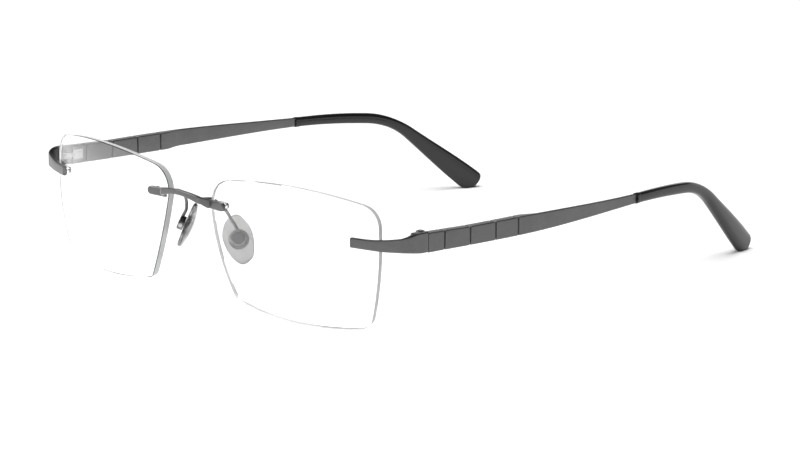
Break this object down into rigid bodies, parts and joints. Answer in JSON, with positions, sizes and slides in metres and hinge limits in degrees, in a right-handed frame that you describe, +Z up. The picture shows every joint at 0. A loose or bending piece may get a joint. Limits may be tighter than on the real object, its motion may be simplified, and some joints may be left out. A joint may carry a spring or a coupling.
{
  "type": "eyeglasses",
  "caption": "Rimless eyeglasses with near-rectangular clear lenses, gunmetal bridge and grooved side arms, soft nose pads and black bent ear tips. The side arms fold and the nose pads rock.",
  "frame": {"origin": "middle of the object's base on the floor, under the middle of its outline seen from above", "axes": "+X towards the wearer's left, +Y from the lenses back along the temples, +Z up"},
  "size_m": [0.1422, 0.1502, 0.0345],
  "materials": {
    "gunmetal": "satin",
    "steel": "satin",
    "clear_lens": "polished",
    "pad_silicone": "glossy",
    "black_acetate": "glossy"
  },
  "bodies": {
    "front": {"bridge": "gunmetal", "lens_left": "clear_lens", "lens_right": "clear_lens", "endpiece_left": "gunmetal", "endpiece_right": "gunmetal", "bridge_sleeve_left": "pad_silicone", "bridge_sleeve_right": "pad_silicone", "endpiece_sleeve_left": "pad_silicone", "endpiece_sleeve_right": "pad_silicone", "hinge_screw_left": "steel", "hinge_screw_right": "steel", "lower_washer_left": "pad_silicone", "lower_washer_right": "pad_silicone", "upper_washer_left": "pad_silicone", "upper_washer_right": "pad_silicone", "pad_arm_left": "gunmetal", "pad_arm_right": "gunmetal", "pad_box_left": "gunmetal", "pad_box_right": "gunmetal", "pad_screw_left": "steel", "pad_screw_right": "steel"},
    "temple_left": {"hinge_leaf_left": "steel", "temple_blade_left": "gunmetal", "temple_collar_left": "black_acetate", "temple_tip_left": "black_acetate"},
    "temple_right": {"hinge_leaf_right": "steel", "temple_blade_right": "gunmetal", "temple_collar_right": "black_acetate", "temple_tip_right": "black_acetate"},
    "nose_pad_left": {"nose_pad_left": "pad_silicone", "pad_core_left": "steel"},
    "nose_pad_right": {"nose_pad_right": "pad_silicone", "pad_core_right": "steel"}
  },
  "joints": [
    {"name": "temple_left_fold", "type": "hinge", "parent": "front", "child": "temple_left", "pos_m": [0.0686, -0.05568, 0.02404], "axis": [0, 0, 1], "range_deg": [0, 83]},
    {"name": "temple_right_fold", "type": "hinge", "parent": "front", "child": "temple_right", "pos_m": [-0.0686, -0.05568, 0.02404], "axis": [0, 0, -1], "range_deg": [0, 78]},
    {"name": "nose_pad_left_rock", "type": "hinge", "parent": "front", "child": "nose_pad_left", "pos_m": [0.01173, -0.06427, 0.01661], "axis": [-0.6442, -0.7567, -0.1117], "range_deg": [-8, 8]},
    {"name": "nose_pad_right_rock", "type": "hinge", "parent": "front", "child": "nose_pad_right", "pos_m": [-0.01173, -0.06427, 0.01661], "axis": [-0.6442, 0.7567, 0.1117], "range_deg": [-8, 8]}
  ]
}
